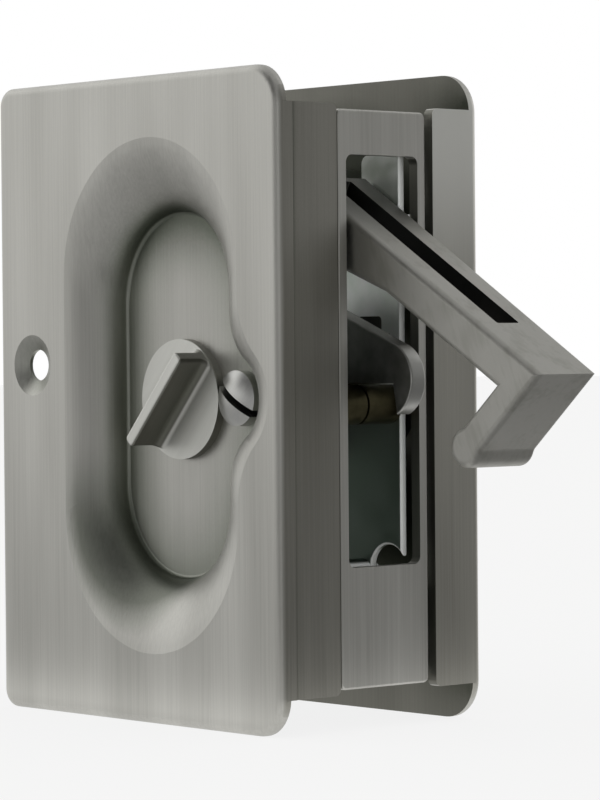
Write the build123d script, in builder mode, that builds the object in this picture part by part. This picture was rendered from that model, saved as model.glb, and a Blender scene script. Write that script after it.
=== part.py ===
from build123d import *
import os
from math import cos, radians, sin

# A privacy lock for a sliding pocket door, in millimetres: two plates with finger dishes, a turn in
# each dish, and a case between them with a hook bolt and a swinging edge pull.
# X points out of the door's edge, Y runs through the door from the front plate to the rear plate and
# Z is up. The origin is on the door's edge, in the middle of the case, level with the spindle.

os.makedirs("parts", exist_ok=True)

# Plates, 2 1/4 in by 3 1/4 in.
plate_width = 57.15
plate_height = 82.55
plate_thickness = 1.6
plate_corner = 5.0
plate_back_corner = 2.4
plate_roll = 1.05
front_turn_gap = 1.4
rear_turn_gap = 0.1

# The flange that wraps each plate round the door's edge.
flange_thickness = 1.5
flange_height = 73.2
flange_corner = 0.8
flange_band = 2.57
flange_step = 0.2
front_flange_gap = 0.28
rear_flange_gap = 0.85

# Finger dish: a racetrack with a round bay for the screw, its wall rolling down from rim to floor.
backset = 23.75
dish_x = -23.9
dish_z = 0.5
dish_depth = 6.2
floor_thickness = 1.5
floor_half_width = 11.95
floor_half_length = 23.6
side_run = 5.55
end_run = 9.25
bay_offset = 0.6
bay_shift = 3.5
bay_radius = 5.1
bay_gain = 2.4
shoulder_radius = 6.0
shoulder_gain = 4.5
wall_straight = 0.2
foot_radius = 0.45
foot_sections = 4
dish_sections = 6
boss_spread = 0.5

# Wood screw hole in each plate.
door_screw_x = -48.4
door_screw_z = 4.4
door_screw_radius = 2.05
door_screw_sink_radius = 4.0
door_screw_sink_angle = 120.0

# Mortise case: two sheet walls riveted through spacers and staked into the faceplate.
wall_thickness = 1.0
case_inner_width = 11.5
case_back_x = -38.0
case_top = 19.0
case_bottom = -29.0
wall_front_x = -2.0
horn_back_x = -9.05
horn_top = 31.0
wall_round = 1.2
wall_soft_edge = 0.35
tab_back_x = -5.5
tab_end = 35.0
lower_tab_top = -24.5
lug_bottom = 16.5
lug_top = 23.2
ear_reach = 3.55
ear_thickness = 1.0
ear_gap = 0.15
notch_x = -4.6
notch_z = -21.9
notch_radius = 3.2
tenon_height = 2.0
tenon_depth = 0.8
spacer_radius = 2.2
cutout_back_x = -11.0
cutout_front_x = -5.5
cutout_foot_x = -3.6
cutout_top = 10.4
cutout_step = 8.2
cutout_bottom = 5.0
cutout_corner = 0.6
rivet_radius = 1.25
rivet_head_radius = 2.0
rivet_head_height = 0.55
spacer_places = [(-35.0, 14.0), (-35.0, -20.0), (-9.6, -22.85)]

# Faceplate.
face_lip = 0.7
face_height = 72.0
face_thickness = 1.5
face_outer_x = 1.1
face_corner = 0.8
face_soft_edge = 0.3
window_margin = 0.3
window_top = 30.4
window_bottom = -20.9
window_corner = 1.0

# Spindle, hub and hook bolt.
spindle_square = 4.0
spindle_start = 0.6
socket_start = 0.3
socket_clearance = 0.05
hub_radius = 5.2
hub_end_gap = 0.15
hub_neck_radius = 3.8
hub_neck_out = 0.1
hook_thickness = 2.4
hook_ring_radius = 8.2
hook_throw = 6.0
beak_width = 3.5
beak_drop = 3.7
beak_tip_in = 0.7
nose_z = 2.9
shoulder_x = 4.7
shoulder_z = 6.7
hook_top_x = -12.6
hook_top_z = 13.5
ring_top_x = -25.5
arch_start_x = -9.0
arch_end_x = -15.6
arm_gap = 0.45
hook_top_round = 3.0
hook_soft_edge = 0.25

# Stop under the hook bolt: a stud in the rear wall with a sleeve.
stop_x = -4.2
stop_z = -0.8
stop_core_radius = 1.5
stop_sleeve_radius = 2.5
stop_front_y = -3.5
stop_collar_front_y = 4.0
stop_head_radius = 2.1
stop_head_height = 0.4
stop_groove_y = 0.2
stop_groove_width = 0.35
stop_groove_depth = 0.5
rest_gap = 0.12

# Turns in the dishes.
thumb_disc_radius = 7.7
thumb_disc_thickness = 1.2
fin_length = 15.2
fin_height = 4.5
fin_top = 1.7
fin_flank_radius = 1.3
fin_end_round = 0.6
fin_soft_edge = 0.3
fin_angle = 47.8
coin_disc_radius = 6.0
coin_slot_width = 1.6
coin_slot_depth = 0.8
shank_radius = 4.0
groove_radius = 3.3
shank_end = 0.7
washer_radius = 6.0
washer_thickness = 0.4
clip_radius = 5.2
clip_thickness = 0.6
clip_gap = 4.4
running_clearance = 0.05
press_clearance = 0.02

# Machine screw in the front dish and the threaded post that takes it.
screw_x = -12.2
screw_z = 0.2
screw_radius = 1.6
screw_length = 13.0
screw_head_radius = 3.5
screw_rim_height = 1.5
screw_dome_height = 1.0
screw_slot_width = 1.0
screw_slot_depth = 1.9
screw_slot_angle = -34.0
post_radius = 2.5
post_neck_radius = 2.0
post_bore_end = 2.5
post_head_radius = 3.4
post_head_height = 1.1
post_wall_gap = 0.1

# Edge pull, drawn closed about its pivot: u points out of the door, v points up.
pivot_x = -2.5
pivot_z = 20.7
pull_open = 58.8
pull_outer_u = 3.6
pull_inner_u = -1.45
pull_boss_u = -3.05
pull_top_v = 8.1
pull_corner_v = -39.8
pull_leg_angle = 163.0
pull_leg_length = 17.3
pull_leg_thickness = 4.0
pull_bead_radius = 2.45
pull_bead_out = 0.6
pull_bead_blend = 1.5
pull_boss_top_v = 2.0
pull_boss_bottom_v = -3.6
pull_flare_v = -12.0
pull_side_gap = 0.15
pull_taper = 0.6
pull_slot_half_width = 1.85
pull_slot_top_v = 7.2
pull_slot_bottom_v = -28.0
pull_slot_corner = 0.3
pull_soft_edge = 0.8
pull_relief_gap = 0.4
pin_radius = 1.25
pin_inner_y = 2.2
pull_washer_radius = 2.8
pull_washer_thickness = 0.2

# Values that follow from the ones above.
plate_middle_x = flange_thickness - plate_width / 2
half_case = case_inner_width / 2
wall_outer_y = half_case + wall_thickness
shank_length = floor_thickness + washer_thickness + clip_thickness + shank_end
turn_stack = wall_outer_y + hub_neck_out + shank_length + dish_depth
front_face_y = -(turn_stack + front_turn_gap)
rear_face_y = turn_stack + rear_turn_gap
face_width = 2 * (wall_outer_y + face_lip)
window_width = case_inner_width + 2 * window_margin
pull_half_width = half_case - pull_side_gap
pull_end_half_width = pull_half_width - pull_taper
tenon_middle = (horn_top + tab_end) / 2
face_back_x = face_outer_x - face_thickness
front_floor_y = front_face_y + dish_depth
rear_floor_y = rear_face_y - dish_depth
front_back_y = front_floor_y + floor_thickness
rear_back_y = rear_floor_y - floor_thickness
shank_hole_radius = shank_radius + running_clearance
socket_size = spindle_square + 2 * socket_clearance
seat_z = stop_z + stop_sleeve_radius + rest_gap
arch_z = screw_z + post_radius + arm_gap
nose_x = flange_thickness + hook_throw
beak_x = nose_x - beak_width
ear_reach_u = (horn_back_x - pivot_x) * cos(radians(pull_open))
ear_top = pivot_z + (pull_inner_u - ear_reach_u) / sin(radians(pull_open))
ear_v = (pivot_x - horn_back_x) * sin(radians(pull_open)) + (ear_top - pivot_z) * cos(radians(pull_open))


def facing(y):
    """Drawing plane seen from the front at depth y: right is X and up is Z."""
    return Plane(origin=(0, y, 0), x_dir=(1, 0, 0), z_dir=(0, -1, 0))


def dish_outline(y, spread, grow=0.0):
    """Outline of the dish at depth y, from the floor (spread 0) to the rim (spread 1)."""
    half_width = floor_half_width + side_run * spread + grow
    half_length = floor_half_length + end_run * spread + grow
    bay = bay_radius + bay_gain * spread + grow
    with BuildSketch(facing(y)) as outline:
        with Locations((dish_x, dish_z)):
            SlotOverall(2 * half_length, 2 * half_width, rotation=90)
        with Locations((screw_x + bay_offset + bay_shift * spread, screw_z)):
            Circle(bay)
        shoulders = outline.vertices().filter_by(lambda v: v.X > dish_x and abs(v.Y - screw_z) < bay)
        fillet(shoulders, radius=shoulder_radius + shoulder_gain * spread - grow)
    return outline.sketch


def dish_wall(face_y, inward):
    """Outlines of the dish from its rim down to its foot: part slope, part rounded roll."""
    outlines = []
    for step in range(dish_sections):
        turn = radians(90) * step / (dish_sections - 1)
        fall = wall_straight * sin(turn) + (1 - wall_straight) * (1 - cos(turn))
        outlines.append(dish_outline(face_y + inward * (dish_depth - foot_radius) * fall, 1 - sin(turn)))
    return outlines


def dish_foot(face_y, inward):
    """Outlines of the dish from the foot of its wall to its floor, round a hollow quarter circle."""
    outlines = []
    for step in range(foot_sections):
        turn = radians(90) * step / (foot_sections - 1)
        depth = dish_depth - foot_radius * (1 - sin(turn))
        outlines.append(dish_outline(face_y + inward * depth, 0, -foot_radius * (1 - cos(turn))))
    return outlines


def build_plate(face_y, inward, flange_gap):
    """A plate with its flange and dish; inward is +1 on the front plate and -1 on the rear one."""
    inner_y = face_y + inward * plate_thickness
    back_y = face_y + inward * (dish_depth + floor_thickness)
    roll_y = face_y + inward * plate_roll
    end_y = -inward * (face_width / 2 + flange_gap)
    with BuildPart() as plate:
        with BuildSketch(facing(face_y)) as outline:
            with Locations((plate_middle_x, 0)):
                Rectangle(plate_width, plate_height)
            fillet(outline.vertices().sort_by(Axis.X)[:2], radius=plate_back_corner)
            fillet(outline.vertices().sort_by(Axis.X)[-2:], radius=plate_corner)
        extrude(amount=-inward * plate_thickness)
        outer_face = plate.faces().filter_by(Axis.Y).sort_by(Axis.Y)[0 if inward > 0 else -1]
        fillet(outer_face.edges(), radius=plate_roll)
        with BuildSketch(Plane.XY.offset(-flange_height / 2)):
            with Locations((flange_thickness / 2, (roll_y + end_y) / 2)):
                Rectangle(flange_thickness, abs(end_y - roll_y))
        extrude(amount=flange_height)
        flange_end = plate.faces().filter_by(Axis.Y).sort_by(lambda face: abs(face.center().Y - end_y))[0]
        fillet(flange_end.edges().filter_by(Axis.X), radius=flange_corner)
        extrude(dish_outline(inner_y, boss_spread, floor_thickness), amount=inner_y - back_y)
        loft(dish_wall(face_y, inward), mode=Mode.SUBTRACT)
        loft(dish_foot(face_y, inward), mode=Mode.SUBTRACT)
        with BuildSketch(facing(back_y)):
            with Locations((-backset, 0)):
                Circle(shank_hole_radius)
        extrude(amount=2 * floor_thickness, both=True, mode=Mode.SUBTRACT)
        with Locations(Plane(origin=(door_screw_x, face_y, door_screw_z), z_dir=(0, -inward, 0))):
            CounterSinkHole(
                door_screw_radius,
                door_screw_sink_radius,
                depth=2 * plate_thickness,
                counter_sink_angle=door_screw_sink_angle,
            )
    return plate


# Front plate, with a clear hole for the machine screw in its dish and a flange that steps in beside a
# band along the plate.
front_casting = build_plate(front_face_y, 1, front_flange_gap)
band_y = front_face_y + flange_band
with BuildPart() as front_plate:
    add(front_casting.part)
    with BuildSketch(Plane.XY.offset(-plate_height / 2)):
        with BuildLine():
            Polyline(
                (flange_thickness, band_y),
                (flange_thickness - flange_step, band_y + flange_step),
                (flange_thickness - flange_step, 0),
                (flange_thickness, 0),
                close=True,
            )
        make_face()
    extrude(amount=plate_height, mode=Mode.SUBTRACT)
    with BuildSketch(facing(front_back_y)):
        with Locations((screw_x, screw_z)):
            Circle(screw_radius + running_clearance)
    extrude(amount=2 * floor_thickness, both=True, mode=Mode.SUBTRACT)
front_plate.part.label = "front_plate"
export_step(front_plate.part, "parts/front_plate.step")

# Rear plate, with a hole for the riveted neck of the threaded post.
rear_casting = build_plate(rear_face_y, -1, rear_flange_gap)
with BuildPart() as rear_plate:
    add(rear_casting.part)
    with BuildSketch(facing(rear_back_y)):
        with Locations((screw_x, screw_z)):
            Circle(post_neck_radius)
    extrude(amount=2 * floor_thickness, both=True, mode=Mode.SUBTRACT)
rear_plate.part.label = "rear_plate"
export_step(rear_plate.part, "parts/rear_plate.step")


def build_turn(floor_y, inward, disc_radius, disc_thickness):
    """Disc and shank of a turn: the shank passes the dish floor, a washer and a clip."""
    groove_start = floor_thickness + washer_thickness
    groove_end = groove_start + clip_thickness
    with BuildPart() as turn:
        with BuildSketch(Plane(origin=(-backset, floor_y, 0), x_dir=(1, 0, 0), z_dir=(0, 0, inward))):
            with BuildLine():
                Polyline(
                    (0, -disc_thickness),
                    (disc_radius, -disc_thickness),
                    (disc_radius, 0),
                    (shank_radius, 0),
                    (shank_radius, groove_start),
                    (groove_radius, groove_start),
                    (groove_radius, groove_end),
                    (shank_radius, groove_end),
                    (shank_radius, shank_length),
                    (0, shank_length),
                    close=True,
                )
            make_face()
        revolve(axis=Axis((-backset, 0, 0), (0, 1, 0)))
        with BuildSketch(facing(floor_y + inward * socket_start)):
            with Locations((-backset, 0)):
                Rectangle(socket_size, socket_size)
        extrude(amount=-inward * shank_length, mode=Mode.SUBTRACT)
    return turn


# Fin of the thumb turn: waisted flanks, its ends cut to the disc's round.
fin_side = (-sin(radians(fin_angle)), 0, cos(radians(fin_angle)))
fin_along = (cos(radians(fin_angle)), 0, sin(radians(fin_angle)))
fin_foot_y = front_floor_y - thumb_disc_thickness
fin_half_top = fin_top / 2
fin_half_foot = fin_half_top + fin_flank_radius
with BuildPart() as fin:
    with BuildSketch(Plane(origin=(-backset, fin_foot_y, 0), x_dir=fin_side, z_dir=fin_along)):
        with BuildLine():
            left_flank = RadiusArc((-fin_half_foot, 0), (-fin_half_top, fin_flank_radius), -fin_flank_radius)
            left_edge = Line(left_flank @ 1, (-fin_half_top, fin_height))
            top_edge = Line(left_edge @ 1, (fin_half_top, fin_height))
            right_edge = Line(top_edge @ 1, (fin_half_top, fin_flank_radius))
            right_flank = RadiusArc(right_edge @ 1, (fin_half_foot, 0), -fin_flank_radius)
            Line(right_flank @ 1, left_flank @ 0)
        make_face()
    extrude(amount=fin_length, both=True)
    with BuildSketch(facing(fin_foot_y)):
        with Locations((-backset, 0)):
            Circle(fin_length / 2)
    extrude(amount=fin_height, mode=Mode.INTERSECT)
    fillet(fin.edges().filter_by(Axis.Y), radius=fin_end_round)
    fillet(fin.faces().sort_by(Axis.Y)[0].edges(), radius=fin_soft_edge)

# Thumb turn in the front dish.
thumb_blank = build_turn(front_floor_y, 1, thumb_disc_radius, thumb_disc_thickness)
with BuildPart() as thumb_turn:
    add(thumb_blank.part)
    add(fin.part)
thumb_turn.part.label = "thumb_turn"
export_step(thumb_turn.part, "parts/thumb_turn.step")

# Emergency turn in the rear dish, with a slot for a coin.
coin_blank = build_turn(rear_floor_y, -1, coin_disc_radius, thumb_disc_thickness)
with BuildPart() as emergency_turn:
    add(coin_blank.part)
    with BuildSketch(facing(rear_floor_y + thumb_disc_thickness)):
        with Locations((-backset, 0)):
            Rectangle(coin_slot_width, 3 * coin_disc_radius)
    extrude(amount=coin_slot_depth, mode=Mode.SUBTRACT)
emergency_turn.part.label = "emergency_turn"
export_step(emergency_turn.part, "parts/emergency_turn.step")

# Spring washers behind the two dish floors.
with BuildPart() as turn_washers:
    with BuildSketch(facing(front_back_y + washer_thickness), facing(rear_back_y)):
        with Locations((-backset, 0)):
            Circle(washer_radius)
            Circle(shank_hole_radius, mode=Mode.SUBTRACT)
    extrude(amount=washer_thickness)
turn_washers.part.label = "turn_washers"
export_step(turn_washers.part, "parts/turn_washers.step")

# Open retaining clips in the shanks' grooves.
front_clip_y = front_back_y + washer_thickness + clip_thickness
rear_clip_y = rear_back_y - washer_thickness
with BuildPart() as turn_clips:
    with BuildSketch(facing(front_clip_y), facing(rear_clip_y)):
        with Locations((-backset, 0)):
            Circle(clip_radius)
            Circle(groove_radius + running_clearance, mode=Mode.SUBTRACT)
        with Locations((-backset, -clip_radius)):
            Rectangle(clip_gap, clip_radius, mode=Mode.SUBTRACT)
    extrude(amount=clip_thickness)
turn_clips.part.label = "turn_clips"
export_step(turn_clips.part, "parts/turn_clips.step")

# Square spindle from one turn to the other.
spindle_front_y = front_floor_y + spindle_start
spindle_rear_y = rear_floor_y - spindle_start
with BuildPart() as spindle:
    with BuildSketch(facing(spindle_rear_y)):
        with Locations((-backset, 0)):
            Rectangle(spindle_square, spindle_square)
    extrude(amount=spindle_rear_y - spindle_front_y)
spindle.part.label = "spindle"
export_step(spindle.part, "parts/spindle.step")

# Hub between the case walls, its necks turning in their holes.
hub_body_y = half_case - hub_end_gap
hub_neck_y = wall_outer_y + hub_neck_out
with BuildPart() as hub:
    with BuildSketch(facing(hub_neck_y)):
        with Locations((-backset, 0)):
            Circle(hub_neck_radius)
    extrude(amount=2 * hub_neck_y)
    with BuildSketch(facing(hub_body_y)):
        with Locations((-backset, 0)):
            Circle(hub_radius)
    extrude(amount=2 * hub_body_y)
    with BuildSketch(facing(hub_neck_y)):
        with Locations((-backset, 0)):
            Rectangle(socket_size, socket_size)
    extrude(amount=2 * hub_neck_y, mode=Mode.SUBTRACT)
hub.part.label = "hub"
export_step(hub.part, "parts/hub.step")

# Hook bolt: a ring on the hub, an arm over the threaded post and a hooked nose.
with BuildPart() as hook_bolt:
    with BuildSketch(facing(hook_thickness / 2)):
        with BuildLine():
            tip = (beak_x + beak_tip_in, seat_z - beak_drop)
            nose = ThreePointArc(tip, (nose_x, nose_z), (shoulder_x, shoulder_z))
            Polyline(
                nose @ 1,
                (hook_top_x, hook_top_z),
                (ring_top_x, hook_ring_radius),
                (-backset, 0),
                (arch_end_x, 0),
                (arch_end_x, arch_z),
                (arch_start_x, arch_z),
                (arch_start_x, seat_z),
                (beak_x, seat_z),
                nose @ 0,
            )
        make_face()
        with Locations((-backset, 0)):
            Circle(hook_ring_radius)
    extrude(amount=hook_thickness)
    top_corner = hook_bolt.edges().filter_by(Axis.Y).filter_by(lambda e: abs(e.center().X - hook_top_x) < 0.1)
    fillet(top_corner, radius=hook_top_round)
    with BuildSketch(facing(hook_thickness / 2)):
        with Locations((-backset, 0)):
            Circle(hub_radius + press_clearance)
    extrude(amount=hook_thickness, mode=Mode.SUBTRACT)
    sides = hook_bolt.faces().filter_by(Axis.Y)
    fillet([edge for side in sides for edge in side.outer_wire().edges()], radius=hook_soft_edge)
hook_bolt.part.label = "hook_bolt"
export_step(hook_bolt.part, "parts/hook_bolt.step")


def build_wall(outer_y, side):
    """A case wall with its tabs, tenons and stop ear; side is -1 at the front and +1 at the rear."""
    near_y = max(outer_y, outer_y - side * wall_thickness)
    ear_y = max(outer_y, outer_y - side * (wall_thickness + ear_reach))
    with BuildPart() as wall:
        with BuildSketch(facing(near_y)):
            with BuildLine():
                Polyline(
                    (face_back_x, tab_end),
                    (tab_back_x, tab_end),
                    (tab_back_x, horn_top),
                    (horn_back_x, horn_top),
                    (horn_back_x, case_top),
                    (case_back_x, case_top),
                    (case_back_x, case_bottom),
                    (tab_back_x, case_bottom),
                    (tab_back_x, -tab_end),
                    (face_back_x, -tab_end),
                    (face_back_x, lower_tab_top),
                    (wall_front_x, lower_tab_top),
                    (wall_front_x, lug_bottom),
                    (face_back_x, lug_bottom),
                    (face_back_x, lug_top),
                    (wall_front_x, lug_top),
                    (wall_front_x, horn_top),
                    (face_back_x, horn_top),
                    close=True,
                )
            make_face()
            with Locations((face_back_x, tenon_middle), (face_back_x, -tenon_middle)):
                Rectangle(2 * tenon_depth, tenon_height)
            with Locations((notch_x, notch_z)):
                Circle(notch_radius, mode=Mode.SUBTRACT)
            with Locations((-backset, 0)):
                Circle(hub_neck_radius + running_clearance, mode=Mode.SUBTRACT)
            with Locations((screw_x, screw_z)):
                Circle(post_radius + post_wall_gap, mode=Mode.SUBTRACT)
            with Locations((pivot_x, pivot_z)):
                Circle(pin_radius + press_clearance, mode=Mode.SUBTRACT)
            with Locations(*spacer_places):
                Circle(rivet_radius + press_clearance, mode=Mode.SUBTRACT)
        extrude(amount=wall_thickness)
        corners = wall.edges().filter_by(Axis.Y)
        back_corners = corners.filter_by(lambda e: e.center().X < case_back_x + 0.1)
        horn_corner = corners.filter_by(lambda e: abs(e.center().X - horn_back_x) < 0.1).sort_by(Axis.Z)[-1:]
        fillet(back_corners + horn_corner, radius=wall_round)
        uprights = wall.edges().filter_by(Axis.Z).filter_by(lambda e: abs(e.center().X - wall_front_x) < 0.1)
        long_uprights = uprights.filter_by(lambda e: e.length > notch_radius)
        arcs = wall.edges().filter_by(GeomType.CIRCLE)
        notch_rims = arcs.filter_by(lambda e: abs(e.radius - notch_radius) < 0.01)
        fillet(long_uprights + notch_rims, radius=wall_soft_edge)
        with BuildSketch(facing(ear_y)):
            with Locations((horn_back_x - ear_thickness / 2, (case_top + ear_top) / 2)):
                Rectangle(ear_thickness, ear_top - case_top)
        extrude(amount=wall_thickness + ear_reach)
    return wall


# Front wall of the case.
front_wall_blank = build_wall(-wall_outer_y, -1)
with BuildPart() as case_front_wall:
    add(front_wall_blank.part)
case_front_wall.part.label = "case_front_wall"
export_step(case_front_wall.part, "parts/case_front_wall.step")

# Rear wall of the case, with the hole for the stop stud and a stepped cut-out above it.
rear_wall_blank = build_wall(wall_outer_y, 1)
with BuildPart() as case_rear_wall:
    add(rear_wall_blank.part)
    with BuildSketch(facing(wall_outer_y)):
        with Locations((stop_x, stop_z)):
            Circle(stop_core_radius + press_clearance)
        with BuildLine():
            Polyline(
                (cutout_back_x, cutout_bottom),
                (cutout_foot_x, cutout_bottom),
                (cutout_foot_x, cutout_step),
                (cutout_front_x, cutout_step),
                (cutout_front_x, cutout_top),
                (cutout_back_x, cutout_top),
                close=True,
            )
        cutout = make_face()
        fillet(cutout.vertices(), radius=cutout_corner)
    extrude(amount=wall_thickness, mode=Mode.SUBTRACT)
case_rear_wall.part.label = "case_rear_wall"
export_step(case_rear_wall.part, "parts/case_rear_wall.step")

# Three spacers between the walls, riveted over on the outside.
with BuildPart() as case_spacers:
    with BuildSketch(facing(half_case)):
        with Locations(*spacer_places):
            Circle(spacer_radius)
    extrude(amount=case_inner_width)
    with BuildSketch(facing(wall_outer_y)):
        with Locations(*spacer_places):
            Circle(rivet_radius)
    extrude(amount=2 * wall_outer_y)
    with BuildSketch(facing(wall_outer_y + rivet_head_height), facing(-wall_outer_y)):
        with Locations(*spacer_places):
            Circle(rivet_head_radius)
    extrude(amount=rivet_head_height)
case_spacers.part.label = "case_spacers"
export_step(case_spacers.part, "parts/case_spacers.step")

# Faceplate with its window, and blind pockets behind for the walls' tenons.
window_height = window_top - window_bottom
pocket_width = wall_thickness + 2 * running_clearance
pocket_height = tenon_height + 2 * running_clearance
wall_middle_y = half_case + wall_thickness / 2
with BuildPart() as faceplate:
    with BuildSketch(Plane.YZ.offset(face_back_x)):
        RectangleRounded(face_width, face_height, face_corner)
        with Locations((0, window_bottom + window_height / 2)):
            RectangleRounded(window_width, window_height, window_corner, mode=Mode.SUBTRACT)
    extrude(amount=face_thickness)
    fillet(faceplate.faces().sort_by(Axis.X)[-1].outer_wire().edges(), radius=face_soft_edge)
    with BuildSketch(Plane.YZ.offset(face_back_x)):
        with GridLocations(2 * wall_middle_y, 2 * tenon_middle, 2, 2):
            Rectangle(pocket_width, pocket_height)
    extrude(amount=tenon_depth + running_clearance, mode=Mode.SUBTRACT)
faceplate.part.label = "faceplate"
export_step(faceplate.part, "parts/faceplate.step")

# Edge pull: an arm with a long slot for the hook bolt, and a bent leg to hold with a finger, which
# ends in a bead. It is drawn in its closed shape on planes turned to the open rest position.
pull_u = (cos(radians(pull_open)), 0, sin(radians(pull_open)))
pull_v = (-sin(radians(pull_open)), 0, cos(radians(pull_open)))
leg_u = cos(radians(pull_leg_angle))
leg_v = sin(radians(pull_leg_angle))
leg_tip = (pull_outer_u + pull_leg_length * leg_u, pull_corner_v + pull_leg_length * leg_v)
leg_tip_inner = (leg_tip[0] + pull_leg_thickness * leg_v, leg_tip[1] - pull_leg_thickness * leg_u)
leg_side_u = pull_leg_thickness / 2 * leg_v
leg_side_v = -pull_leg_thickness / 2 * leg_u
bead_back = pull_bead_radius - pull_bead_out
bead_u = leg_tip[0] + leg_side_u - bead_back * leg_u
bead_v = leg_tip[1] + leg_side_v - bead_back * leg_v
inner_reach = (leg_tip_inner[0] - pull_inner_u) / leg_u
inner_corner = (pull_inner_u, leg_tip_inner[1] - inner_reach * leg_v)
relief_radius = stop_sleeve_radius + pull_relief_gap
relief_y = stop_front_y - stop_head_height - pull_relief_gap
slot_middle_v = (pull_slot_top_v + pull_slot_bottom_v) / 2
with BuildPart() as edge_pull:
    with BuildSketch(Plane(origin=(pivot_x, 0, pivot_z), x_dir=pull_u, z_dir=(0, -1, 0))) as profile:
        with BuildLine():
            Polyline(
                (pull_outer_u, pull_top_v),
                (pull_outer_u, pull_corner_v),
                (bead_u - leg_side_u, bead_v - leg_side_v),
                (bead_u + leg_side_u, bead_v + leg_side_v),
                inner_corner,
                (pull_inner_u, pull_flare_v),
                (pull_boss_u, pull_boss_bottom_v),
                (pull_boss_u, pull_boss_top_v),
                (pull_inner_u, ear_v - ear_gap),
                (pull_inner_u, pull_top_v),
                close=True,
            )
        make_face()
        with Locations((bead_u, bead_v)):
            Circle(pull_bead_radius)
        joins = profile.vertices().sort_by(lambda v: (v.X - bead_u) ** 2 + (v.Y - bead_v) ** 2)[:2]
        fillet(joins, radius=pull_bead_blend)
    extrude(amount=2 * pull_half_width, both=True)
    with BuildSketch(Plane(origin=(pivot_x, 0, pivot_z), x_dir=pull_v, z_dir=pull_u)):
        with BuildLine():
            Polyline(
                (pull_top_v + 1, pull_half_width),
                (2 * pull_corner_v, 2 * pull_end_half_width - pull_half_width),
                (2 * pull_corner_v, pull_half_width - 2 * pull_end_half_width),
                (pull_top_v + 1, -pull_half_width),
                close=True,
            )
        make_face()
    extrude(amount=2 * pull_leg_length, both=True, mode=Mode.INTERSECT)
    front_side = edge_pull.faces().sort_by(Axis.Y)[0]
    rear_side = edge_pull.faces().sort_by(Axis.Y)[-1]
    fillet(front_side.edges() + rear_side.edges(), radius=pull_soft_edge)
    with BuildSketch(Plane(origin=(pivot_x, 0, pivot_z), x_dir=pull_v, z_dir=pull_u)):
        with Locations((slot_middle_v, 0)):
            RectangleRounded(pull_slot_top_v - pull_slot_bottom_v, 2 * pull_slot_half_width, pull_slot_corner)
    extrude(amount=2 * pull_outer_u, both=True, mode=Mode.SUBTRACT)
    with BuildSketch(Plane(origin=(pivot_x, 0, pivot_z), x_dir=pull_u, z_dir=(0, -1, 0))):
        Circle(pin_radius + running_clearance)
    extrude(amount=2 * pull_half_width, both=True, mode=Mode.SUBTRACT)
    with BuildSketch(Plane(origin=(pivot_x, relief_y, pivot_z), x_dir=pull_u, z_dir=(0, -1, 0))):
        with Locations((stop_x - pivot_x, stop_z - pivot_z)):
            Circle(relief_radius)
    extrude(amount=-2 * pull_half_width, mode=Mode.SUBTRACT)
edge_pull.part.label = "edge_pull"
export_step(edge_pull.part, "parts/edge_pull.step")

# Two stub pins, riveted over outside the walls, that the edge pull swings on.
with BuildPart() as pull_pivot_pins:
    with BuildSketch(facing(wall_outer_y), facing(-pin_inner_y)):
        with Locations((pivot_x, pivot_z)):
            Circle(pin_radius)
    extrude(amount=wall_outer_y - pin_inner_y)
    with BuildSketch(facing(wall_outer_y + rivet_head_height), facing(-wall_outer_y)):
        with Locations((pivot_x, pivot_z)):
            Circle(rivet_head_radius)
    extrude(amount=rivet_head_height)
pull_pivot_pins.part.label = "pull_pivot_pins"
export_step(pull_pivot_pins.part, "parts/pull_pivot_pins.step")

# Thin washers between the edge pull and the walls.
with BuildPart() as pull_washers:
    with BuildSketch(facing(half_case), facing(pull_washer_thickness - half_case)):
        with Locations((pivot_x, pivot_z)):
            Circle(pull_washer_radius)
            Circle(pin_radius + running_clearance, mode=Mode.SUBTRACT)
    extrude(amount=pull_washer_thickness)
pull_washers.part.label = "pull_washers"
export_step(pull_washers.part, "parts/pull_washers.step")

# Stop stud, riveted in the rear wall, with a collar behind the sleeve and a small head before it.
with BuildPart() as stop_stud:
    with BuildSketch(facing(wall_outer_y)):
        with Locations((stop_x, stop_z)):
            Circle(stop_core_radius)
    extrude(amount=wall_outer_y - stop_front_y)
    with BuildSketch(facing(half_case)):
        with Locations((stop_x, stop_z)):
            Circle(stop_sleeve_radius)
    extrude(amount=half_case - stop_collar_front_y)
    with BuildSketch(facing(stop_front_y)):
        with Locations((stop_x, stop_z)):
            Circle(stop_head_radius)
    extrude(amount=stop_head_height)
    with BuildSketch(facing(wall_outer_y + rivet_head_height)):
        with Locations((stop_x, stop_z)):
            Circle(rivet_head_radius)
    extrude(amount=rivet_head_height)
stop_stud.part.label = "stop_stud"
export_step(stop_stud.part, "parts/stop_stud.step")

# Sleeve on the stop stud, which the hook bolt's arm rests on, with a turned groove.
with BuildPart() as stop_sleeve:
    with BuildSketch(facing(stop_collar_front_y)):
        with Locations((stop_x, stop_z)):
            Circle(stop_sleeve_radius)
            Circle(stop_core_radius + running_clearance, mode=Mode.SUBTRACT)
    extrude(amount=stop_collar_front_y - stop_front_y)
    with BuildSketch(facing(stop_groove_y)):
        with Locations((stop_x, stop_z)):
            Circle(stop_sleeve_radius)
            Circle(stop_sleeve_radius - stop_groove_depth, mode=Mode.SUBTRACT)
    extrude(amount=stop_groove_width, mode=Mode.SUBTRACT)
stop_sleeve.part.label = "stop_sleeve"
export_step(stop_sleeve.part, "parts/stop_sleeve.step")

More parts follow.
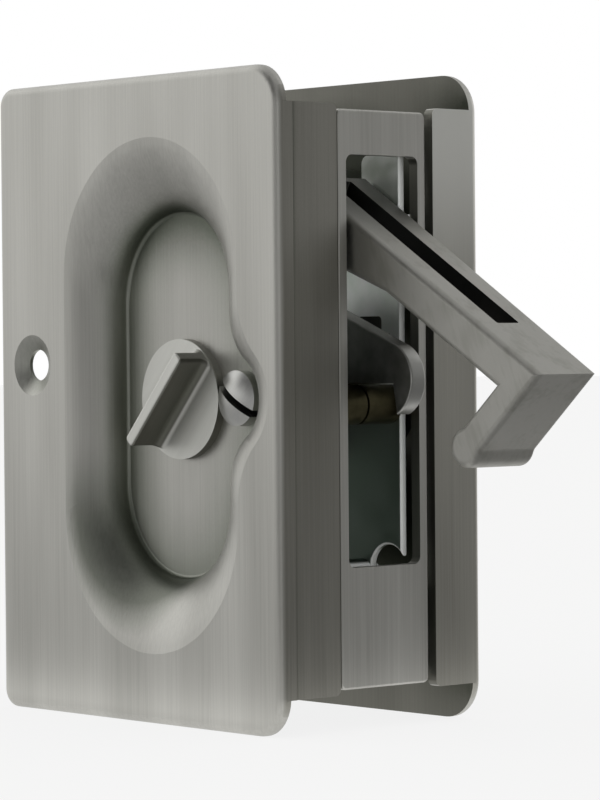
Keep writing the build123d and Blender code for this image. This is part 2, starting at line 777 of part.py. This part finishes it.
# Slotted machine screw in the front dish.
screw_top = screw_rim_height + screw_dome_height
dome_radius = (screw_head_radius**2 + screw_dome_height**2) / (2 * screw_dome_height)
dome_side_x = screw_head_radius / 2
dome_side_y = screw_top - dome_radius + (dome_radius**2 - dome_side_x**2) ** 0.5
with BuildPart() as through_screw:
    with BuildSketch(Plane(origin=(screw_x, front_floor_y, screw_z), x_dir=(1, 0, 0), z_dir=(0, 0, -1))):
        with BuildLine():
            dome_edge = (screw_head_radius, screw_rim_height)
            dome = ThreePointArc(dome_edge, (dome_side_x, dome_side_y), (0, screw_top))
            Polyline(
                dome @ 1,
                (0, -screw_length),
                (screw_radius, -screw_length),
                (screw_radius, 0),
                (screw_head_radius, 0),
                dome @ 0,
            )
        make_face()
    revolve(axis=Axis((screw_x, 0, screw_z), (0, 1, 0)))
    with BuildSketch(facing(front_floor_y - screw_top)):
        with Locations((screw_x, screw_z)):
            Rectangle(3 * screw_head_radius, screw_slot_width, rotation=screw_slot_angle)
    extrude(amount=-screw_slot_depth, mode=Mode.SUBTRACT)
through_screw.part.label = "through_screw"
export_step(through_screw.part, "parts/through_screw.step")

# Threaded post, riveted in the rear dish and standing against the back of the front dish.
post_length = rear_back_y - front_back_y
post_round = (post_head_radius**2 + post_head_height**2) / (2 * post_head_height)
post_side_x = post_head_radius / 2
post_side_y = post_head_height - post_round + (post_round**2 - post_side_x**2) ** 0.5
with BuildPart() as threaded_post:
    with BuildSketch(Plane(origin=(screw_x, rear_floor_y, screw_z), x_dir=(1, 0, 0), z_dir=(0, 0, 1))):
        with BuildLine():
            cap = ThreePointArc((post_head_radius, 0), (post_side_x, post_side_y), (0, post_head_height))
            Polyline(
                cap @ 1,
                (0, -floor_thickness - post_length),
                (post_radius, -floor_thickness - post_length),
                (post_radius, -floor_thickness),
                (post_neck_radius - press_clearance, -floor_thickness),
                (post_neck_radius - press_clearance, 0),
                cap @ 0,
            )
        make_face()
    revolve(axis=Axis((screw_x, 0, screw_z), (0, 1, 0)))
    with BuildSketch(facing(front_back_y)):
        with Locations((screw_x, screw_z)):
            Circle(screw_radius + running_clearance)
    extrude(amount=-(post_length - post_bore_end), mode=Mode.SUBTRACT)
threaded_post.part.label = "threaded_post"
export_step(threaded_post.part, "parts/threaded_post.step")
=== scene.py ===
# %% [markdown]
# # A pocket door lock
# The lock's solids come from the CAD model, already in their places and in metres. This lesson gives them
# their finishes, sets a small studio round them and puts a camera where the picture was taken from.
# Nothing is moved: a piece that is in the right place needs only the right surface.

# %% Load the frame
import bpy
from math import cos, sin, radians
from mathutils import Matrix, Vector


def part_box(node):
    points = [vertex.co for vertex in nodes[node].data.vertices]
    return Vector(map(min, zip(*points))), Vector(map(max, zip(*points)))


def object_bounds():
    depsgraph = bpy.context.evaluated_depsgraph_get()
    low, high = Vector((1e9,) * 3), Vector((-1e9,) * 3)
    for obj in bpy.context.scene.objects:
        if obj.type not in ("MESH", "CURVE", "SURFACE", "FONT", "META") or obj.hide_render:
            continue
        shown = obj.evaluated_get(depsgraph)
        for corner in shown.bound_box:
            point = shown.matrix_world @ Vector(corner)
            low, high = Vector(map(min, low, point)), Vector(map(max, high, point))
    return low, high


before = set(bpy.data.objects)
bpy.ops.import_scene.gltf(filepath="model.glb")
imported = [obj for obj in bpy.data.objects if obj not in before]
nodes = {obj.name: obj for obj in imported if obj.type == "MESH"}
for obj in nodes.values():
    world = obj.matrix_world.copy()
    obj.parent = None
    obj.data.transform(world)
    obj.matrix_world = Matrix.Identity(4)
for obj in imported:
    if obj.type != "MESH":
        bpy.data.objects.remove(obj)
cad_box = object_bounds()
bpy.ops.object.select_all(action="DESELECT")
mm = 0.001

# %% [markdown]
# ## Camera
# The camera was found by fitting the plates' corners to the picture. It stands a little over 40 cm away,
# just above the middle of the lock, and looks at the corner between the front plate and the door's edge. A
# long lens keeps the plates' edges nearly parallel. The picture is 600 by 800, so the tall side sets the
# lens.

# %% Camera
yaw, pitch, roll = radians(48.8546), radians(-0.9691), radians(-0.4723)
focal_px, picture_height_px, sensor_mm = 3440.89, 800, 36
eye = Vector((0.31807, -0.29086, 0.007218))
level_right = Vector((cos(yaw), sin(yaw), 0))
level_ahead = Vector((-sin(yaw), cos(yaw), 0))
ahead = level_ahead * cos(pitch) + Vector((0, 0, sin(pitch)))
tilted_up = Vector((0, 0, cos(pitch))) - level_ahead * sin(pitch)
right = level_right * cos(roll) + tilted_up * sin(roll)
up = tilted_up * cos(roll) - level_right * sin(roll)
camera_data = bpy.data.cameras.new("picture_camera")
camera_data.sensor_fit = "VERTICAL"
camera_data.sensor_height = sensor_mm
camera_data.lens = sensor_mm * focal_px / picture_height_px
camera_data.clip_start = 10 * mm
camera = bpy.data.objects.new("picture_camera", camera_data)
camera.matrix_world = Matrix.Translation(eye) @ Matrix((right, up, -ahead)).transposed().to_4x4()
bpy.context.collection.objects.link(camera)
bpy.context.scene.camera = camera
print("camera lens", round(camera_data.lens, 1), "mm")

# %% [markdown]
# ## Tools for the finishes
# A finish is a small tree of nodes. One helper adds a node with its settings and its links, and another
# turns the usual sRGB hex colours into the linear values that the renderer works with.

# %% Colour and node helpers
def linear(hex_code):
    """Linear RGBA from an sRGB hex colour."""
    values = [int(hex_code[i:i + 2], 16) / 255 for i in (1, 3, 5)]
    return [v / 12.92 if v <= 0.04045 else ((v + 0.055) / 1.055) ** 2.4 for v in values] + [1]


def add_node(tree, kind, settings=None, values=None, links=None):
    """Add a node, set its properties and input values, and link its inputs from (node, output) pairs."""
    node = tree.nodes.new(kind)
    for name, value in (settings or {}).items():
        setattr(node, name, value)
    for name, value in (values or {}).items():
        node.inputs[name].default_value = value
    for name, (source, output) in (links or {}).items():
        tree.links.new(source.outputs[output], node.inputs[name])
    return node


def new_material(name):
    """An empty node material and its tree, ready for a shader."""
    material = bpy.data.materials.new(name)
    material.use_nodes = True
    material.node_tree.nodes.clear()
    return material, material.node_tree


def wear(material, *names):
    """Put a finish on CAD pieces."""
    for name in names:
        mesh = nodes[name].data
        mesh.materials.clear()
        mesh.materials.append(material)


nickel_light, nickel_dark = "#d0cfc9", "#b0afa9"
print("light nickel in linear values:", [round(v, 3) for v in linear(nickel_light)[:3]])

# %% [markdown]
# ## Masks
# A finish isn't the same all over. Some masks give the metal's own marks: patina in hollows and wear. Many
# paint light and shade: painted shade in recesses, on shaded sides and deep in the case, and painted
# highlights on lit tops and edges. Each mask below is a small group of nodes that gives 1 where that holds
# and 0 elsewhere, and a last helper lays another colour over a finish through a mask. The masks read the
# piece's own coordinates and normals, so they stay in place when the piece moves.

# %% Directions and masks by place
rearwards, frontwards, outwards, upwards = (0, 1, 0), (0, -1, 0), (1, 0, 0), (0, 0, 1)


def along(tree, direction, of="Object"):
    """How far the place, or with of="Normal" the normal, reaches along a direction."""
    place = add_node(tree, "ShaderNodeTexCoord")
    return add_node(tree, "ShaderNodeVectorMath", {"operation": "DOT_PRODUCT"}, {1: direction},
                    {0: (place, of)}), "Value"


def facing_mask(tree, direction, least=0.6):
    """What faces this way; the mask is half way where the cosine of the angle is the least."""
    soft = 0.1
    return add_node(tree, "ShaderNodeMapRange", values={"From Min": least - soft, "From Max": least + soft},
                    links={"Value": along(tree, direction, "Normal")}), "Result"


def near_mask(tree, direction, level, within, of="Object"):
    """What lies, or whose normal points, within a distance of a level along this direction."""
    return add_node(tree, "ShaderNodeMath", {"operation": "COMPARE"}, {1: level, 2: within},
                    {0: along(tree, direction, of)}), "Value"


def fade_mask(tree, direction, none_at, full_at):
    """A soft change from one level to another, measured along this direction."""
    return add_node(tree, "ShaderNodeMapRange", {"interpolation_type": "SMOOTHSTEP"},
                    {"From Min": none_at, "From Max": full_at}, {"Value": along(tree, direction)}), "Result"


def both(tree, first, second):
    """Where two masks hold at once."""
    return add_node(tree, "ShaderNodeMath", {"operation": "MULTIPLY"}, links={0: first, 1: second}), "Value"


print("masks by place, facing and fade")

# %% Masks by shape, and a layer of colour
def recess_mask(tree, reach, deep=0.85):
    """What is shut in by its own piece within this reach, as the foot of the dish is."""
    nearly_open = 0.97
    room = add_node(tree, "ShaderNodeAmbientOcclusion", {"samples": 12, "only_local": True},
                    {"Distance": reach})
    return add_node(tree, "ShaderNodeMapRange", values={"From Min": nearly_open, "From Max": deep},
                    links={"Value": (room, "AO")}), "Result"


def edge_mask(tree, radius):
    """A band along sharp edges, found where a rounded normal leaves the true one."""
    still_flat, on_the_edge = 0.99, 0.85
    rounded = add_node(tree, "ShaderNodeBevel", {"samples": 6}, {"Radius": radius})
    surface = add_node(tree, "ShaderNodeNewGeometry")
    agree = add_node(tree, "ShaderNodeVectorMath", {"operation": "DOT_PRODUCT"},
                     links={0: (rounded, "Normal"), 1: (surface, "Normal")})
    return add_node(tree, "ShaderNodeMapRange", values={"From Min": still_flat, "From Max": on_the_edge},
                    links={"Value": (agree, "Value")}), "Result"


def paint_over(material, mask, hex_code, blend="MIX"):
    """Lay another colour over a finish where a mask says so; MULTIPLY keeps the pattern under it."""
    share_in, under_in, over_in, colour_out = 0, 6, 7, 2  # the Mix node's sockets for colours
    tree = material.node_tree
    shader = tree.nodes["Principled BSDF"]
    under = shader.inputs["Base Color"].links[0].from_socket
    layer = add_node(tree, "ShaderNodeMix", {"data_type": "RGBA", "blend_type": blend},
                     {over_in: linear(hex_code)}, {share_in: mask})
    tree.links.new(under, layer.inputs[under_in])
    tree.links.new(layer.outputs[colour_out], shader.inputs["Base Color"])


print("masks by recess and edge, and a layer of colour")

# %% [markdown]
# ## What the metals share
# Every finish here is metal, and each differs in its marks: lines from a belt, streaks from tumbling or
# stains from a bath. The marks are noise patterns whose scale is a real size. One helper stretches a noise
# into streaks, and one turns a pattern into a metal: its tone picks a colour between a dark and a light
# one, and the marks also change the gloss a little and raise a very low relief. The IOR stays at its
# default, as a metal's does.

# %% Streaks and a metal surface
def streaks_along_z(tree, place, width, length, detail, roughness=0.5):
    """Noise drawn out along Z into streaks of this width and length in metres."""
    stretch = add_node(tree, "ShaderNodeMapping", values={"Scale": (1 / width, 1 / width, 1 / length)},
                       links={"Vector": place})
    return add_node(tree, "ShaderNodeTexNoise",
                    values={"Scale": 1, "Detail": detail, "Roughness": roughness},
                    links={"Vector": (stretch, "Vector")}), "Fac"


def metal_surface(tree, tone, dark, light, marks, tone_ends, rough_ends, relief_strength, relief_depth):
    """Metal whose colour follows a tone, and whose gloss and relief follow its marks."""
    marks_low, marks_high = 0.3, 0.7
    colour = add_node(tree, "ShaderNodeValToRGB", links={"Fac": tone})
    for end, position, hex_code in zip(colour.color_ramp.elements, tone_ends, (dark, light)):
        end.position, end.color = position, linear(hex_code)
    grain = add_node(tree, "ShaderNodeMapRange",
                     values={"From Min": marks_low, "From Max": marks_high,
                             "To Min": rough_ends[0], "To Max": rough_ends[1]}, links={"Value": marks})
    relief = add_node(tree, "ShaderNodeBump",
                      values={"Strength": relief_strength, "Distance": relief_depth}, links={"Height": marks})
    shader = add_node(tree, "ShaderNodeBsdfPrincipled", values={"Metallic": 1.0},
                      links={"Base Color": (colour, "Color"), "Roughness": (grain, "Result"),
                             "Normal": (relief, "Normal")})
    add_node(tree, "ShaderNodeOutputMaterial", links={"Surface": (shader, "BSDF")})


print("metal helpers ready")

# %% [markdown]
# ## Brushed nickel
# The plates are cast brass, nickel plated, darkened and brushed with a belt, which gives the eye a soft
# sheen full of fine straight lines. The real lines are finer than a pixel, so they are drawn 0.3 mm apart,
# as coarse as they need to be to show, and some 30 mm long. Broader and fainter streaks stand for the
# uneven darkening. The lines run up the plates and along the thumb turn's fin, so the same tree is made
# anew with its own turn.

# %% Brushed nickel
def brushed_nickel(name, turn, light=nickel_light, dark=nickel_dark, rough=0.44):
    """Satin nickel whose brush lines lie along Z after the pattern is turned about Y by this angle."""
    material, tree = new_material(name)
    place = add_node(tree, "ShaderNodeTexCoord")
    turned = add_node(tree, "ShaderNodeMapping", values={"Rotation": (0, turn, 0)},
                      links={"Vector": (place, "Object")})
    line_gap, line_length, streak_width, streak_length = 0.3 * mm, 30 * mm, 8 * mm, 45 * mm
    lines = streaks_along_z(tree, (turned, "Vector"), line_gap, line_length, detail=4, roughness=0.65)
    streaks = streaks_along_z(tree, (turned, "Vector"), streak_width, streak_length, detail=1)
    total = add_node(tree, "ShaderNodeMath", {"operation": "ADD"}, links={0: lines, 1: streaks})
    half = add_node(tree, "ShaderNodeMath", {"operation": "MULTIPLY"}, {1: 0.5}, {0: (total, "Value")})
    metal_surface(tree, (half, "Value"), dark, light, lines, tone_ends=(0.3, 0.7),
                  rough_ends=(rough - 0.05, rough + 0.06), relief_strength=0.25, relief_depth=0.01 * mm)
    return material


print("brushed nickel from", nickel_dark, "to", nickel_light)

# %% [markdown]
# The plates are darker at the foot of the dish, partly patina and partly painted shade; a painted shadow
# darkens its head and painted shade its lower left. The side that lies against the door is darker, and the
# flange at the door's edge gets painted shade. These tints multiply the colour under them, so the brush lines
# stay. Only the paler top of the rear flange, painted light, is laid on whole, so its lines don't show there.

# %% Plates and faceplate
patina_and_shade, deep_shade, darker_side_and_shade, lit_pale = "#ccd0ca", "#b4b8b2", "#a2a29d", "#e4e4de"
dish_reach, dish_middle_x, dish_half_width = 10 * mm, -23.9 * mm, 20 * mm
head_from, head_full, foot_from, foot_full = 13 * mm, 22 * mm, -4 * mm, -18 * mm
up_and_outwards = (0.83, 0, 0.55)
flange_level, flange_half_depth, lit_from, lit_full = 1.4 * mm, 0.5 * mm, 8 * mm, 34 * mm
for plate, inner_side, flange_shade in (("front_plate", rearwards, "#cbcac6"),
                                       ("rear_plate", frontwards, "#e6e5e1")):
    finish = brushed_nickel("brushed_nickel_" + plate, 0)
    tree = finish.node_tree
    # Darker where the piece shuts itself in: partly patina, partly painted shade.
    paint_over(finish, recess_mask(tree, dish_reach), patina_and_shade, "MULTIPLY")
    # Painted shadow: the head of the dish is darker, as under its top wall.
    dish_head_shadow = both(tree, recess_mask(tree, dish_reach), fade_mask(tree, upwards, head_from, head_full))
    paint_over(finish, dish_head_shadow, deep_shade, "MULTIPLY")
    # Painted shade on the lower left wall of the dish.
    lower_left_shade = both(tree, facing_mask(tree, up_and_outwards, least=0.25),
                      fade_mask(tree, upwards, foot_from, foot_full))
    in_dish = near_mask(tree, outwards, dish_middle_x, dish_half_width)
    paint_over(finish, both(tree, lower_left_shade, in_dish), deep_shade, "MULTIPLY")
    # The side that lies against the door is darker.
    paint_over(finish, facing_mask(tree, inner_side), darker_side_and_shade, "MULTIPLY")
    # Painted shade on the flange faces at the door's edge.
    flange_face = both(tree, facing_mask(tree, outwards, least=0.9),
                       near_mask(tree, outwards, flange_level, flange_half_depth))
    paint_over(finish, flange_face, flange_shade, "MULTIPLY")
    if plate == "rear_plate":
        # Painted light: the top of the rear flange is paler, laid on whole.
        lit_top = both(tree, flange_face, fade_mask(tree, upwards, lit_from, lit_full))
        paint_over(finish, lit_top, lit_pale)
    wear(finish, plate)
face_finish = brushed_nickel("brushed_nickel_faceplate", 0)
# Painted shade on the faceplate's side that faces the front, inside the window.
paint_over(face_finish, facing_mask(face_finish.node_tree, frontwards), darker_side_and_shade, "MULTIPLY")
wear(face_finish, "faceplate")
print("brushed nickel on the plates and the faceplate")

# %% [markdown]
# ## Turns and screw
# The turns and the screw are handled, so they shine where fingers and screwdrivers rub. The tops of the fin
# and of the disc are rubbed bright, which masks near their levels give; the fin's shaded side gets painted
# shade, and where the fin meets the disc it is darker, partly patina and partly painted shade. The screw is
# polished nickel. Its slot is painted nearly black as shade: the slot is the band that lies within half its
# width of a line through the screw's middle.

# %% Turns
rubbed, rubbed_depth = "#d8d8d2", 0.2 * mm
fin_lean = radians(90 - 47.8)  # the fin stands 47.8 degrees from level
fin_top_level, fin_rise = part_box("thumb_turn")[0][1], 4.5 * mm
turn_finish = brushed_nickel("brushed_nickel_turns", -fin_lean, rough=0.48)
tree = turn_finish.node_tree
# Where the fin meets the disc it is darker: partly patina, partly painted shade.
paint_over(turn_finish, recess_mask(tree, fin_rise, deep=0.6), patina_and_shade, "MULTIPLY")
for rubbed_level in (fin_top_level, fin_top_level + fin_rise):
    paint_over(turn_finish, near_mask(tree, rearwards, rubbed_level, rubbed_depth), rubbed)
# Painted shade on the fin's shaded side.
shaded_side = Vector((cos(fin_lean), 0, -sin(fin_lean)))
paint_over(turn_finish, facing_mask(tree, shaded_side, least=0.5), darker_side_and_shade, "MULTIPLY")
wear(turn_finish, "thumb_turn", "emergency_turn")
print("fin top at", round(fin_top_level / mm, 2), "mm")

# %% Screw
screw_slot_shade = "#161614"
slot_lean, slot_width = radians(34), 1.0 * mm
across_slot = Vector((sin(slot_lean), 0, cos(slot_lean)))
screw_low, screw_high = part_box("through_screw")
screw_middle = (Vector(screw_low) + Vector(screw_high)) / 2
screw_finish = brushed_nickel("polished_nickel_screw", -fin_lean, "#d0d0ca", "#bababa", rough=0.38)
slot = near_mask(screw_finish.node_tree, across_slot, screw_middle.dot(across_slot), 0.5 * slot_width)
# Painted shade: the screw's slot nearly black.
paint_over(screw_finish, slot, screw_slot_shade)
wear(screw_finish, "through_screw")
print("screw slot", round(slot_width / mm, 1), "mm wide")

# %% [markdown]
# ## Tumbled nickel
# The edge pull is a casting that was tumbled, not brushed, so it has short slanted streaks and soft mottling
# in place of long lines, and less shine. Where it goes into the case it is painted darker as shade, and the
# walls of its slot are painted dark as shade.

# %% Edge pull
def tumbled_nickel(name, light, dark, rough):
    """Cast nickel with slanted streaks and mottles."""
    material, tree = new_material(name)
    place = add_node(tree, "ShaderNodeTexCoord")
    streak_width, streak_length, streak_lean, mottle = 0.7 * mm, 5 * mm, radians(20), 4 * mm
    turned = add_node(tree, "ShaderNodeMapping", values={"Rotation": (0, streak_lean, 0)},
                      links={"Vector": (place, "Object")})
    streaks = streaks_along_z(tree, (turned, "Vector"), streak_width, streak_length, detail=3)
    mottles = add_node(tree, "ShaderNodeTexNoise", values={"Scale": 1 / mottle, "Detail": 1},
                       links={"Vector": (place, "Object")})
    total = add_node(tree, "ShaderNodeMath", {"operation": "ADD"}, links={0: streaks, 1: (mottles, "Fac")})
    metal_surface(tree, (total, "Value"), dark, light, streaks, tone_ends=(0.7, 1.0),
                  rough_ends=(rough - 0.03, rough + 0.03), relief_strength=0.1, relief_depth=0.02 * mm)
    return material


in_case_shade, in_case_from, in_case_full = "#6e6e69", 7 * mm, -3 * mm
pull_slot_shade, slot_wall_reach = "#3c3c3a", 2.2 * mm
pull_finish = tumbled_nickel("tumbled_nickel_pull", "#b9b8b2", "#acaba4", rough=0.52)
tree = pull_finish.node_tree
# Painted shade where the pull goes into the case.
paint_over(pull_finish, fade_mask(tree, outwards, in_case_from, in_case_full), in_case_shade)
# Painted shade on the walls of the pull's slot.
for slot_side in (rearwards, frontwards):
    slot_wall = both(tree, facing_mask(tree, slot_side), near_mask(tree, rearwards, 0, slot_wall_reach))
    paint_over(pull_finish, slot_wall, pull_slot_shade)
wear(pull_finish, "edge_pull")
print("tumbled nickel on the edge pull")

# %% [markdown]
# ## Plain metals inside the case
# The case is stamped from zinc-plated sheet: a cool grey with a faint green cast, cloudy from the plating
# bath. Low down it is painted darker as shade, and its front edges and rims carry a painted highlight in pale
# matt paint. The hook bolt is dull steel with a film of oil; its outward face is painted lighter, as lit, and
# its edges have a pale band that is partly wear and partly painted highlight. The pull's thin washers are
# nearly black, as dark as the gap they sit in. The stop and the threaded post are turned brass that has gone
# olive brown. Each is a metal whose colour and roughness wander at the size of its own stains.

# %% Zinc
def stained_metal(name, light, dark, stain, rough):
    """Metal with stains of this size in metres between a light and a dark tone."""
    material, tree = new_material(name)
    place = add_node(tree, "ShaderNodeTexCoord")
    stains = add_node(tree, "ShaderNodeTexNoise", values={"Scale": 1 / stain, "Detail": 4},
                      links={"Vector": (place, "Object")}), "Fac"
    metal_surface(tree, stains, dark, light, stains, tone_ends=(0.25, 0.75),
                  rough_ends=(rough - 0.08, rough + 0.08), relief_strength=0.06, relief_depth=0.02 * mm)
    return material


low_zinc_shade, low_from, low_full, edge_highlight = "#8c968e", 12 * mm, -8 * mm, "#f6f8f6"
rim_slope, rim_slope_range = 0.6, 0.35
zinc = stained_metal("zinc_plated_steel", "#ffffff", "#e4ece4", 4 * mm, rough=0.38)
tree = zinc.node_tree
# Painted shade: the zinc darker low down in the case.
paint_over(zinc, fade_mask(tree, upwards, low_from, low_full), low_zinc_shade)
front_edge = facing_mask(tree, outwards)
soft_rim = near_mask(tree, frontwards, rim_slope, rim_slope_range, of="Normal")
highlit_edges = add_node(tree, "ShaderNodeMath", {"operation": "MAXIMUM"},
                   links={0: front_edge, 1: soft_rim}), "Value"
paint_over(zinc, highlit_edges, edge_highlight)
# The painted highlight on the edges is matt, so it scatters light as paint does and isn't a mirror of the
# dark inside of the case.
plated = add_node(tree, "ShaderNodeMath", {"operation": "SUBTRACT"}, {0: 1.0}, {1: highlit_edges})
tree.links.new(plated.outputs["Value"], tree.nodes["Principled BSDF"].inputs["Metallic"])
wear(zinc, "case_front_wall", "case_rear_wall", "case_spacers", "pull_pivot_pins", "hub", "spindle")
print("zinc on the case and what is riveted in it")

# %% Dull steel, blackened steel and brass
lit_face, worn_edge_highlight, edge_width = "#a9a9a5", "#c4c4c0", 0.3 * mm
dull_steel = stained_metal("dull_oiled_steel", "#8c8d89", "#72736f", 2 * mm, rough=0.38)
# Painted light: the hook's outward face paler.
paint_over(dull_steel, facing_mask(dull_steel.node_tree, outwards, least=0.3), lit_face)
# A pale band on the edges: partly wear, partly painted highlight.
paint_over(dull_steel, edge_mask(dull_steel.node_tree, edge_width), worn_edge_highlight)
wear(dull_steel, "hook_bolt", "turn_washers", "turn_clips")
black_steel = stained_metal("near_black_steel", "#4a4a47", "#363634", 1 * mm, rough=0.5)
wear(black_steel, "pull_washers")
olive_brass = stained_metal("turned_olive_brass", "#605b44", "#45412e", 1.5 * mm, rough=0.4)
wear(olive_brass, "stop_stud", "stop_sleeve", "threaded_post")
print("inside the case:", dull_steel.name, black_steel.name, olive_brass.name)

# %% [markdown]
# ## World and floor
# Metal shows what stands round it, so the studio is built for its reflections. The world is plain white,
# and so is the floor where the camera or a reflection sees it: Light Path says which kind of ray arrives.
# All other light meets grey matt paint. A small share of that paint is always in the mix, so the floor
# keeps the lock's soft shadow.

# %% World and floor
world = bpy.data.worlds.new("white_studio")
bpy.context.scene.world = world
world.use_nodes = True
sky = world.node_tree
sky.nodes.clear()
glow = add_node(sky, "ShaderNodeBackground", values={"Color": (1, 1, 1, 1), "Strength": 1.0})
add_node(sky, "ShaderNodeOutputWorld", links={"Surface": (glow, "Background")})
bpy.context.scene.view_settings.view_transform = "Standard"

floor_level, floor_side, white_share = cad_box[0][2], 6, 0.85
bpy.ops.mesh.primitive_plane_add(size=floor_side, location=(0, 0, floor_level))
floor = bpy.context.active_object
floor.name = "studio_floor"
floor_paint, tree = new_material("matt_white_paint")
rays = add_node(tree, "ShaderNodeLightPath")
matt = add_node(tree, "ShaderNodeBsdfDiffuse", values={"Color": linear("#b4b4b2")})
white = add_node(tree, "ShaderNodeEmission", values={"Color": (1, 1, 1, 1), "Strength": 1.0})
mirrored = add_node(tree, "ShaderNodeMath", {"operation": "MAXIMUM"},
                    links={0: (rays, "Is Glossy Ray"), 1: (rays, "Is Transmission Ray")})
seen = add_node(tree, "ShaderNodeMath", {"operation": "MAXIMUM"},
                links={0: (rays, "Is Camera Ray"), 1: (mirrored, "Value")})
share = add_node(tree, "ShaderNodeMath", {"operation": "MULTIPLY"}, {1: white_share}, {0: (seen, "Value")})
paint = add_node(tree, "ShaderNodeMixShader",
                 links={0: (share, "Value"), 1: (matt, "BSDF"), 2: (white, "Emission")})
add_node(tree, "ShaderNodeOutputMaterial", links={"Surface": (paint, "Shader")})
floor.data.materials.append(floor_paint)
print("floor at", round(floor_level / mm, 2), "mm")

# %% [markdown]
# ## Cards
# In a room of plain white, metal looks like plaster. A photographer stands grey cards round it, and their
# reflections draw its shapes: the upper walls of the dish mirror the cards that lie in front, and the
# faces at the door's edge mirror those behind. The cards show only in reflections. The camera, shadows and
# scattered light pass through them, so they neither stand in a view nor dim the floor.

# %% Cards
def studio_card(name, middle, facing_point, width, height, grey):
    """A flat card at a place, in one grey, that faces a point."""
    bpy.ops.object.select_all(action="DESELECT")
    bpy.ops.mesh.primitive_plane_add(size=1, location=middle)
    card = bpy.context.active_object
    card.name = name
    card.scale = (width, height, 1)
    aim = Vector(facing_point) - Vector(middle)
    card.rotation_euler = aim.to_track_quat("Z", "Y").to_euler()
    paint, tree = new_material(name + "_paint")
    glow = add_node(tree, "ShaderNodeEmission", values={"Color": linear(grey), "Strength": 1.0})
    add_node(tree, "ShaderNodeOutputMaterial", links={"Surface": (glow, "Emission")})
    card.data.materials.append(paint)
    card.visible_camera = card.visible_diffuse = card.visible_shadow = False


heart, over_heart = (0, 0, 0), (0, 0, 0.2)
standing_cards = (
    ("edge_card", (0.70, 0.58, 0.45), over_heart, 0.9, 0.8, "#a2a2a2"),
    ("low_back_card", (0.66, 0.54, 0.0), heart, 0.9, 0.16, "#7c7c7c"),
    ("side_card", (0.95, 0.00, 0.3), heart, 0.9, 1.4, "#909090"),
    ("camera_card", (0.75, -0.62, 0.3), heart, 0.9, 1.4, "#909090"),
    ("front_card", (0.15, -0.95, 0.3), heart, 0.75, 1.4, "#989898"),
    ("high_front_card", (-0.062, -0.706, 0.554), heart, 1.04, 0.73, "#505050"),
    ("ceiling_card", (0.1, 0.0, 1.0), heart, 1.2, 1.2, "#b8b8b8"),
    ("high_back_card", (-0.32, 0.66, 0.66), heart, 0.9, 0.9, "#cfcfcf"),
)
for card_setting in standing_cards:
    studio_card(*card_setting)
above_floor = floor_level + 2 * mm
lying_cards = (
    ("low_front_card", 0.17, -0.20, 0.32, 0.26, "#606060"),
    ("low_left_card", -0.275, -0.29, 0.55, 0.52, "#a8a8a8"),
    ("low_edge_card", 0.285, 0.20, 0.54, 0.52, "#888888"),
)
for name, x, y, width, height, grey in lying_cards:
    studio_card(name, (x, y, above_floor), (x, y, 1), width, height, grey)
print(len(standing_cards) + len(lying_cards), "cards, seen only in reflections")

# %% [markdown]
# ## Lamps
# The white world gives most of the light. A weak softbox at the front left puts a soft sheen on the front
# plate, and a small weak lamp near the camera lifts the hook and the stop out of the dark of the case.

# %% Lamps
for name, place, width, height, watts in (("front_softbox", (-0.67, -0.47, 0.57), 0.8, 0.5, 0.35),
                                          ("camera_lamp", (0.46, -0.40, 0.06), 0.12, 0.12, 0.06)):
    lamp_data = bpy.data.lights.new(name, "AREA")
    lamp_data.shape = "RECTANGLE"
    lamp_data.size, lamp_data.size_y = width, height
    lamp_data.energy = watts
    lamp = bpy.data.objects.new(name, lamp_data)
    lamp.location = place
    lamp.rotation_euler = (Vector(heart) - lamp.location).to_track_quat("-Z", "Y").to_euler()
    bpy.context.collection.objects.link(lamp)
    print(name, "of", watts, "W")
